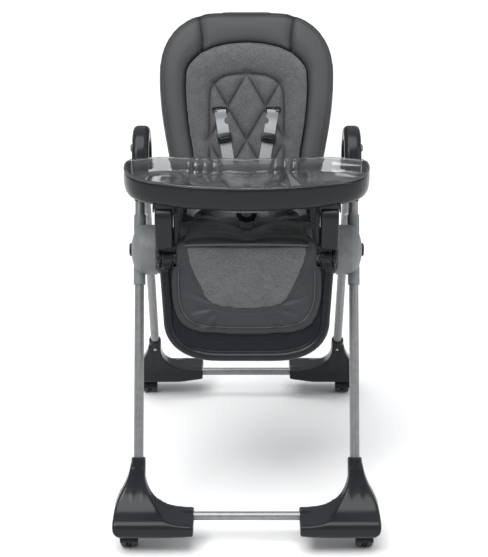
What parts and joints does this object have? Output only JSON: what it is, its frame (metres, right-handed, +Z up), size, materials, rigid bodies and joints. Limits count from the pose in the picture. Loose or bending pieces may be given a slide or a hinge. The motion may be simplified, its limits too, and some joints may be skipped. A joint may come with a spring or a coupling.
{
  "type": "folding high chair",
  "caption": "Folding baby high chair on casters: A-frame of steel tubes, padded reclining seat with harness, lifting legrest and removable tray with clear insert.",
  "frame": {"origin": "on the floor, in the middle of the box round the feet", "axes": "+Z up, -Y the side that the child faces, +X to the right as seen from the front"},
  "size_m": [0.596, 0.88, 1.0837],
  "materials": {
    "tube_metal": "satin powder coat",
    "dark_plastic": "glossy moulded",
    "carriage_grey": "fine texture",
    "button_grey": "fine texture",
    "wheel_plastic": "matt moulded",
    "clear_plastic": "clear smoked acrylic",
    "dark_fabric": "smooth coated cloth",
    "heather_fabric": "heather weave",
    "webbing": "woven webbing",
    "steel": "zinc plated"
  },
  "bodies": {
    "front_frame": {"front_leg_left": "tube_metal", "front_leg_right": "tube_metal", "front_crossbar": "tube_metal", "front_foot_left": "dark_plastic", "front_foot_right": "dark_plastic", "fold_cap_left": "dark_plastic", "fold_cap_right": "dark_plastic", "fold_pins": "steel", "frame_screws": "steel"},
    "rear_frame": {"rear_leg_left": "tube_metal", "rear_leg_right": "tube_metal", "rear_crossbar": "tube_metal", "rear_foot_left": "dark_plastic", "rear_foot_right": "dark_plastic", "rear_knuckles": "dark_plastic", "rear_fixings": "steel"},
    "seat": {"carriage_left": "carriage_grey", "carriage_right": "carriage_grey", "seat_pan": "dark_plastic", "armrest_left": "dark_plastic", "armrest_right": "dark_plastic", "seat_bolts": "steel", "seat_cushion": "dark_fabric", "crotch_strap": "webbing", "buckle": "dark_plastic", "waist_straps": "webbing", "recline_pins": "steel", "legrest_pins": "steel"},
    "backrest": {"backrest_shell": "dark_plastic", "backrest_pad": "dark_fabric", "back_insert": "heather_fabric", "shoulder_strap_left": "webbing", "shoulder_strap_right": "webbing", "strap_sliders": "dark_plastic"},
    "legrest": {"legrest_shell": "dark_plastic", "legrest_pad": "dark_fabric", "leg_flap": "heather_fabric"},
    "tray": {"tray_base": "dark_plastic", "tray_rails": "dark_plastic"},
    "clear_tray": {"clear_tray": "clear_plastic"},
    "tray_release": {"tray_release": "button_grey"},
    "buckle_button": {"buckle_button": "button_grey"},
    "recline_lever": {"recline_lever": "button_grey"},
    "fold_button_left": {"fold_button_left": "button_grey"},
    "height_button_left": {"height_button_left": "dark_plastic"},
    "brake_tab_left": {"brake_tab_left": "button_grey"},
    "caster_fork_front_left": {"caster_fork_front_left": "dark_plastic"},
    "caster_wheels_front_left": {"caster_wheels_front_left": "wheel_plastic"},
    "caster_fork_rear_left": {"caster_fork_rear_left": "dark_plastic"},
    "caster_wheels_rear_left": {"caster_wheels_rear_left": "wheel_plastic"},
    "fold_button_right": {"fold_button_right": "button_grey"},
    "height_button_right": {"height_button_right": "dark_plastic"},
    "brake_tab_right": {"brake_tab_right": "button_grey"},
    "caster_fork_front_right": {"caster_fork_front_right": "dark_plastic"},
    "caster_wheels_front_right": {"caster_wheels_front_right": "wheel_plastic"},
    "caster_fork_rear_right": {"caster_fork_rear_right": "dark_plastic"},
    "caster_wheels_rear_right": {"caster_wheels_rear_right": "wheel_plastic"}
  },
  "joints": [
    {"name": "rear_fold", "type": "hinge", "parent": "front_frame", "child": "rear_frame", "pos_m": [0, 0.09888, 0.74912], "axis": [1, 0, 0], "range_deg": [-45, 0]},
    {"name": "seat_height", "type": "slide", "parent": "front_frame", "child": "seat", "axis": [0, 0.4384, 0.8988], "range_m": [-0.24, 0]},
    {"name": "backrest_recline", "type": "hinge", "parent": "seat", "child": "backrest", "pos_m": [0, 0.02, 0.6], "axis": [1, 0, 0], "range_deg": [-35, 0]},
    {"name": "legrest_lift", "type": "hinge", "parent": "seat", "child": "legrest", "pos_m": [0, -0.205, 0.624], "axis": [1, 0, 0], "range_deg": [-60, 0]},
    {"name": "tray_slide", "type": "slide", "parent": "seat", "child": "tray", "axis": [0, -1, 0], "range_m": [0, 0.12]},
    {"name": "tray_lift", "type": "slide", "parent": "tray", "child": "clear_tray", "axis": [0, 0, 1], "range_m": [0, 0.1]},
    {"name": "tray_release_press", "type": "slide", "parent": "tray", "child": "tray_release", "axis": [0, -1, 0], "range_m": [0, 0.008], "stiffness_N_per_m": 300, "springref_m": -0.01},
    {"name": "buckle_press", "type": "slide", "parent": "seat", "child": "buckle_button", "axis": [0, 1, 0], "range_m": [0, 0.0025], "stiffness_N_per_m": 400, "springref_m": -0.003},
    {"name": "recline_squeeze", "type": "slide", "parent": "backrest", "child": "recline_lever", "axis": [0, 0.4067, 0.9135], "range_m": [0, 0.012], "stiffness_N_per_m": 300, "springref_m": -0.01},
    {"name": "fold_press_left", "type": "slide", "parent": "front_frame", "child": "fold_button_left", "axis": [1, 0, 0], "range_m": [0, 0.004], "stiffness_N_per_m": 400, "springref_m": -0.004},
    {"name": "height_press_left", "type": "slide", "parent": "seat", "child": "height_button_left", "axis": [1, 0, 0], "range_m": [0, 0.003], "stiffness_N_per_m": 400, "springref_m": -0.004},
    {"name": "swivel_front_left", "type": "hinge", "parent": "front_frame", "child": "caster_fork_front_left", "pos_m": [-0.264, -0.4, 0.05], "axis": [0, 0, 1], "continuous": true},
    {"name": "roll_front_left", "type": "hinge", "parent": "caster_fork_front_left", "child": "caster_wheels_front_left", "pos_m": [-0.264, -0.39, 0.019], "axis": [1, 0, 0], "continuous": true},
    {"name": "swivel_rear_left", "type": "hinge", "parent": "rear_frame", "child": "caster_fork_rear_left", "pos_m": [-0.264, 0.4, 0.05], "axis": [0, 0, 1], "continuous": true},
    {"name": "roll_rear_left", "type": "hinge", "parent": "caster_fork_rear_left", "child": "caster_wheels_rear_left", "pos_m": [-0.264, 0.39, 0.019], "axis": [1, 0, 0], "continuous": true},
    {"name": "brake_left", "type": "hinge", "parent": "caster_fork_rear_left", "child": "brake_tab_left", "pos_m": [-0.264, 0.414, 0.0406], "axis": [1, 0, 0], "range_deg": [-18, 0]},
    {"name": "fold_press_right", "type": "slide", "parent": "front_frame", "child": "fold_button_right", "axis": [-1, 0, 0], "range_m": [0, 0.004], "stiffness_N_per_m": 400, "springref_m": -0.004},
    {"name": "height_press_right", "type": "slide", "parent": "seat", "child": "height_button_right", "axis": [-1, 0, 0], "range_m": [0, 0.003], "stiffness_N_per_m": 400, "springref_m": -0.004},
    {"name": "swivel_front_right", "type": "hinge", "parent": "front_frame", "child": "caster_fork_front_right", "pos_m": [0.264, -0.4, 0.05], "axis": [0, 0, 1], "continuous": true},
    {"name": "roll_front_right", "type": "hinge", "parent": "caster_fork_front_right", "child": "caster_wheels_front_right", "pos_m": [0.264, -0.39, 0.019], "axis": [1, 0, 0], "continuous": true},
    {"name": "swivel_rear_right", "type": "hinge", "parent": "rear_frame", "child": "caster_fork_rear_right", "pos_m": [0.264, 0.4, 0.05], "axis": [0, 0, 1], "continuous": true},
    {"name": "roll_rear_right", "type": "hinge", "parent": "caster_fork_rear_right", "child": "caster_wheels_rear_right", "pos_m": [0.264, 0.39, 0.019], "axis": [1, 0, 0], "continuous": true},
    {"name": "brake_right", "type": "hinge", "parent": "caster_fork_rear_right", "child": "brake_tab_right", "pos_m": [0.264, 0.414, 0.0406], "axis": [1, 0, 0], "range_deg": [-18, 0]}
  ]
}
